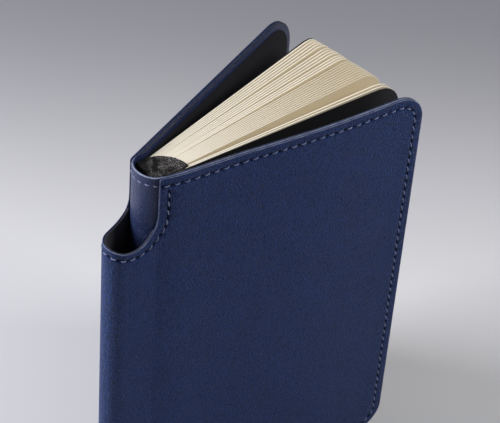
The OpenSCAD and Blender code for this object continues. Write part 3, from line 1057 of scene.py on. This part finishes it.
def make_signature(number, angle, leans, thinning):
    """The four leaves of a signature; all leaves keep their order when the block is shut."""
    hinge_y = -HINGE_HALF if angle < 0 else HINGE_HALF
    middle = (number - (SIGNATURES + 1) / 2) * SIGNATURE_PITCH - hinge_y
    leaves = []
    for k, lean in enumerate(leans):
        local_y = middle + (k - (LEAVES - 1) / 2) / LEAVES * SIGNATURE_PITCH
        short = 0.0 if leans[0] else rng.uniform(0.0, MOST_SHORT)
        leaves.append(leaf_points(hinge_y, angle, local_y, LEAF_T, lean, thinning, short))
    node = f"signature_{number:02d}"
    make_leaves(node + "_leaves", node, leaves, PAPER, "cream_paper")


number = 1
for (count, first_angle, last_angle), ends in zip(BUNCHES, LEANS):
    leans = np.linspace(*ends, count * LEAVES)
    thinning = LEAN_THINNING if ends[0] != ends[1] else 0.0
    for k, angle in enumerate(np.linspace(first_angle, last_angle, count)):
        make_signature(number, angle, leans[k * LEAVES:(k + 1) * LEAVES], thinning)
        number += 1

for side, sign in (("front", -1), ("back", 1)):
    leaf = leaf_points(sign * HINGE_HALF, FLYLEAF_ANGLES[side], sign * (FLYLEAF_Y - HINGE_HALF),
                       FLYLEAF_T, FLYLEAF_LEANS[side])
    make_leaves(side + "_black_flyleaf", side + "_flyleaf", [leaf], BLACK_PAPER, "black_paper")


# ---- Spine cloth over the heads and tails of the pages ----

# Plan of the cloth: the arc of its edge on the pages, then its front edge
CLOTH_ARC = [(2.1, 7.5), (4.0, 7.5), (6.4, 7.1), (9.2, 6.2), (12.2, 4.4), (15.1, 1.5),
             (16.6, -1.2), (17.4, -4.2), (17.7, -6.9), (17.0, -8.7)]
CLOTH_FRONT = [(15.0, -8.5), (9.0, -7.5), (4.0, -6.9), (1.6, -6.6)]
CLOTH_T, CLOTH_GAP, CLOTH_SPINE_GAP = 0.3, 0.2, 0.25
# The cloth dips into the hollow behind the pages, between these x and from these y
CLOTH_DIP, DIP_X, DIP_Y = 6.0, (1.9, -1.3), (7.6, 2.5)
CLOTH_GRID, CLOTH_JITTER, CLOTH_FUZZ = 0.42, 0.08, 0.28
CLOTH_BLEND = 11.0


def cloth_outline():
    inner_r = spine_r - CASE_T - BOARD_T - LINING_T - CLOTH_SPINE_GAP
    spine_side = [(spine_cx - math.sqrt(inner_r ** 2 - y * y), y)
                  for y in np.linspace(-6.3, 7.1, 40)]
    return np.array(spline(CLOTH_ARC, 0.45)[::-1] + spine_side[::-1]
                    + spline(CLOTH_FRONT, 0.45)[::-1])


def clip_half(outline, sign):
    """The part of a closed outline on one side of y = 0, with points along its cut too."""
    out = []
    for a, b in zip(outline, np.roll(outline, -1, 0)):
        if a[1] * sign >= 0:
            out.append(a)
        if (a[1] > 0) != (b[1] > 0):
            out.append(a + (b - a) * (a[1] / (a[1] - b[1])))
    kept = [out[0]]
    for p in out[1:]:
        if math.dist(p, kept[-1]) > 0.05:
            kept.append(p)
    return np.array(run(kept + kept[:1], 0.5))


def make_cloth(where):
    """The fold of cloth over the pages' head or tail, in two halves."""
    outline = cloth_outline()
    grid = lattice(np.arange(-2, 19, CLOTH_GRID), np.arange(-10, 9, CLOTH_GRID))
    grid = grid + np.array([[rng.uniform(-CLOTH_JITTER, CLOTH_JITTER) for _ in (0, 1)]
                            for _ in grid])
    level = COVER_H - SQUARE + CLOTH_GAP
    for side, sign in (("front", -1), ("back", 1)):
        half = clip_half(outline, sign)
        points, faces = fill(half, grid, 0.3)
        dip = CLOTH_DIP * smooth(*DIP_X, points[:, 0]) * smooth(*DIP_Y, points[:, 1])
        fuzz = np.array([rng.uniform(0.0, CLOTH_FUZZ) for _ in points])
        fuzz[np.abs(points[:, 1]) < 0.02] = CLOTH_FUZZ / 2
        under, over = level - dip + fuzz * 0.3, level - dip + CLOTH_T + fuzz
        count = len(points)
        all_faces = [tuple(count + i for i in f) for f in faces] + flipped(faces)
        all_faces += [(i, j, count + j, count + i) for i, j in loop_edges(len(half))]
        if where == "tail":
            under, over = COVER_H - under, COVER_H - over
            all_faces = flipped(all_faces)
        verts = np.vstack([np.column_stack([points, z]) for z in (under, over)])
        piece = build(f"{side}_{where}_cloth", verts, all_faces)
        finish_with(piece, CLOTH, "black_cloth", "spine_cloth")
        tuple(place([0, 0, 0]))
        tuple(place([0, sign * CLOTH_BLEND, 0]))
        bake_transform(piece)


make_cloth("head")
make_cloth("tail")

# ---- CAD nodes that stay ----

for node, material in (("spine_stiffener", BOARD), ("sewing_thread", SEWING)):
    piece = frame["nodes"][node]
    piece.data.materials.clear()
    piece.data.materials.append(material)


# ---- Floor, light and camera ----

FLOOR_HALF = 4.0
# The floor's tones, and between which distances away from the camera (mm) they change; the far
# tone is a painted falloff of light, the near tone painted shade
FLOOR_TONE, FLOOR_PAINTED_SHADE_TONE = (0.74, 0.74, 0.76), (0.50, 0.50, 0.52)
FLOOR_PAINTED_FALLOFF_TONE = (0.31, 0.31, 0.34)
FLOOR_FALL, FLOOR_NEAR = (90.0, 560.0), (0.0, -170.0)
WORLD_COLOUR, WORLD_STRENGTH = (0.70, 0.72, 0.80, 1), 0.12
# The camera's lens and place (mm), and its axes, give the photo's view of the real object
CAMERA_LENS, CAMERA_PLACE = 147.6, [-452.40, -463.80, 759.94]
CAMERA_RIGHT = (0.70307, -0.70857, 0.06019)
CAMERA_UP = (0.43689, 0.49718, 0.74963)
CAMERA_BACK = (-0.56108, -0.50075, 0.65912)
# Square lamps: place and target (m), size (m), power (W) and colour
LAMPS = {
    "left_softbox": ((-0.62, 0.58, 0.62), (0, 0, 0.08), 0.6, 13.0, (0.98, 0.97, 1.0)),
    "top_softbox": ((0.32, -0.36, 0.60), (0, 0, 0.17), 0.25, 2.4, (1.0, 1.0, 1.0)),
    "right_rim": ((0.75, 0.20, 0.50), (0, 0, 0.18), 0.3, 0.5, (1.0, 1.0, 1.0)),
}


def add_object(name, data, location=(0, 0, 0), turn=(1, 0, 0, 0)):
    obj = bpy.data.objects.new(name, data)
    obj.location = location
    obj.rotation_mode = "QUATERNION"
    obj.rotation_quaternion = turn
    bpy.context.scene.collection.objects.link(obj)
    return obj


def make_lamp(name, place_at, look_at, size, power, colour):
    data = bpy.data.lights.new(name, "AREA")
    data.shape = "RECTANGLE"
    data.size = data.size_y = size
    data.energy, data.color = power, colour
    direction = Vector(look_at) - Vector(place_at)
    add_object(name, data, place_at, direction.to_track_quat("-Z", "Y"))


def make_floor():
    """A pale floor that darkens far behind the object, as a painted falloff of light, and close
    in front of it, as painted shade.
    """
    mesh = bpy.data.meshes.new("floor")
    h = FLOOR_HALF
    mesh.from_pydata([(-h, -h, 0), (h, -h, 0), (h, h, 0), (-h, h, 0)], [], [(0, 1, 2, 3)])
    obj = add_object("floor", mesh)
    m = Nodes("pale_floor")
    x, y, _ = m.axes()
    away = m.math("ADD", x, y)
    away = m.math("ADD", away, m.ramp(m.noise(0.004, 2.0), 0.3, 0.7, -8.0, 8.0))
    fall = m.ramp(away, *FLOOR_FALL, kind="SMOOTHSTEP")
    near = m.ramp(away, *FLOOR_NEAR, kind="SMOOTHSTEP")
    tone = m.mix(near, FLOOR_TONE, FLOOR_PAINTED_SHADE_TONE)
    tone = m.mix(fall, tone, FLOOR_PAINTED_FALLOFF_TONE)
    obj.data.materials.append(m.finish(tone, 0.7, Specular_IOR_Level=0.2))


def make_world():
    world = bpy.data.worlds.new("world")
    world.use_nodes = True
    back = world.node_tree.nodes["Background"]
    back.inputs["Color"].default_value = WORLD_COLOUR
    back.inputs["Strength"].default_value = WORLD_STRENGTH
    bpy.context.scene.world = world


def make_camera():
    data = bpy.data.cameras.new("camera")
    data.sensor_width, data.lens = 36.0, CAMERA_LENS
    data.clip_start, data.clip_end = 0.05, 20.0
    turn = Matrix((CAMERA_RIGHT, CAMERA_UP, CAMERA_BACK)).transposed()
    bpy.context.scene.camera = add_object("camera", data, tuple(place(CAMERA_PLACE)),
                                          turn.to_quaternion())


make_floor()
make_world()
make_camera()
for name, lamp in LAMPS.items():
    make_lamp(name, *lamp)
bpy.context.scene.view_settings.view_transform = "Standard"
